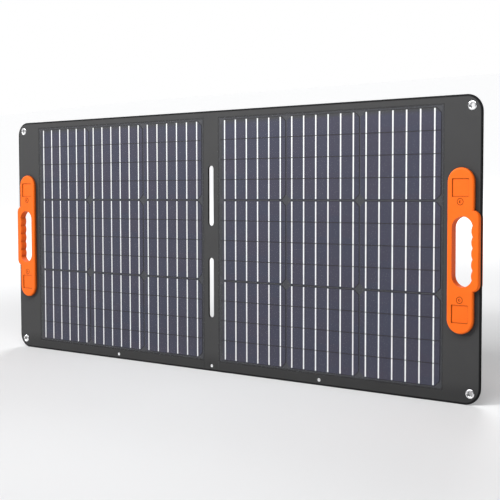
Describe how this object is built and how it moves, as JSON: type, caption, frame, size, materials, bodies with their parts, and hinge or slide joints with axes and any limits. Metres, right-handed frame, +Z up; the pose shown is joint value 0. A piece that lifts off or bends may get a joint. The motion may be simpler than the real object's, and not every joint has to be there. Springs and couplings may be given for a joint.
{
  "type": "folding portable solar panel",
  "caption": "Two-fold portable solar panel with a fabric border, moulded carry handles, slotted soft spine, corner grommets and rear kickstands.",
  "frame": {"origin": "on the floor, under the middle of the standing panel", "axes": "+X along the panel to the right as seen from its front, +Y to the rear where the kickstands stand, +Z up; the panel leans back 8 degrees"},
  "size_m": [1.22, 0.129, 0.5348],
  "materials": {
    "front_fabric": "matt laminated woven fabric",
    "rear_fabric": "woven polyester",
    "clear_film": "satin clear film",
    "solar_cell": "dark blue-grey silicon",
    "tinned_ribbon": "tinned",
    "backsheet": "black",
    "stiff_sheet": "plain",
    "edge_binding": "matt black",
    "bright_metal": "nickel plated",
    "orange_plastic": "moulded, satin",
    "magnet": "nickel",
    "screw_steel": "blackened",
    "webbing": "woven webbing",
    "hook_and_loop": "napped",
    "foot_rubber": "moulded",
    "box_plastic": "moulded, fine texture",
    "circuit_board": "solder mask",
    "pocket_fabric": "woven polyester",
    "zip_tape": "zip tape and teeth"
  },
  "bodies": {
    "spine": {"spine_front_skin": "front_fabric", "spine_back_skin": "rear_fabric", "spine_eyelet": "bright_metal"},
    "left_panel": {"front_skin_left": "front_fabric", "back_skin_left": "rear_fabric", "cover_film_left": "clear_film", "cells_left": "solar_cell", "ribbons_left": "tinned_ribbon", "bus_bars_left": "tinned_ribbon", "backsheet_left": "backsheet", "stiffener_board_left": "stiff_sheet", "edge_binding_left": "edge_binding", "corner_grommets_left": "bright_metal", "grommet_washers_left": "bright_metal", "small_eyelet_left": "bright_metal", "handle_front_left": "orange_plastic", "handle_back_left": "orange_plastic", "handle_magnets_left": "magnet", "handle_screws_left": "screw_steel", "kickstand_hinge_strip_left": "rear_fabric", "kickstand_strap_left": "webbing", "strap_anchor_left": "webbing", "loop_patch_left": "hook_and_loop", "junction_box_base": "box_plastic", "junction_box_lid": "box_plastic", "junction_box_screws": "screw_steel", "circuit_board": "circuit_board", "output_gland": "foot_rubber", "cable_pocket": "pocket_fabric", "zip_track": "zip_tape"},
    "right_panel": {"front_skin_right": "front_fabric", "back_skin_right": "rear_fabric", "cover_film_right": "clear_film", "cells_right": "solar_cell", "ribbons_right": "tinned_ribbon", "bus_bars_right": "tinned_ribbon", "backsheet_right": "backsheet", "stiffener_board_right": "stiff_sheet", "edge_binding_right": "edge_binding", "corner_grommets_right": "bright_metal", "grommet_washers_right": "bright_metal", "small_eyelet_right": "bright_metal", "handle_front_right": "orange_plastic", "handle_back_right": "orange_plastic", "handle_magnets_right": "magnet", "handle_screws_right": "screw_steel", "kickstand_hinge_strip_right": "rear_fabric", "kickstand_strap_right": "webbing", "strap_anchor_right": "webbing", "loop_patch_right": "hook_and_loop"},
    "left_kickstand": {"kickstand_board_left": "stiff_sheet", "kickstand_cover_left": "rear_fabric", "kickstand_foot_left": "foot_rubber", "hook_patch_left": "hook_and_loop"},
    "right_kickstand": {"kickstand_board_right": "stiff_sheet", "kickstand_cover_right": "rear_fabric", "kickstand_foot_right": "foot_rubber", "hook_patch_right": "hook_and_loop"},
    "zip_pull": {"zip_slider": "screw_steel"}
  },
  "joints": [
    {"name": "left_crease", "type": "hinge", "parent": "spine", "child": "left_panel", "pos_m": [-0.0108, -0.02476, 0.26741], "axis": [0, 0.1392, 0.9903], "range_deg": [0, 90]},
    {"name": "right_crease", "type": "hinge", "parent": "spine", "child": "right_panel", "pos_m": [0.0108, -0.02476, 0.26741], "axis": [0, -0.1392, -0.9903], "range_deg": [0, 90]},
    {"name": "left_kickstand_hinge", "type": "hinge", "parent": "left_panel", "child": "left_kickstand", "pos_m": [-0.305, 0.00216, 0.4252], "axis": [1, 0, 0], "range_deg": [-15.4, 0], "deforming": ["kickstand_strap_left"]},
    {"name": "right_kickstand_hinge", "type": "hinge", "parent": "right_panel", "child": "right_kickstand", "pos_m": [0.305, 0.00216, 0.4252], "axis": [1, 0, 0], "range_deg": [-15.4, 0], "deforming": ["kickstand_strap_right"]},
    {"name": "zip_slide", "type": "slide", "parent": "left_panel", "child": "zip_pull", "axis": [1, 0, 0], "range_m": [0, 0.094]}
  ],
  "couplings": [
    {"joint": "right_crease", "follows": "left_crease", "ratio": 1}
  ]
}
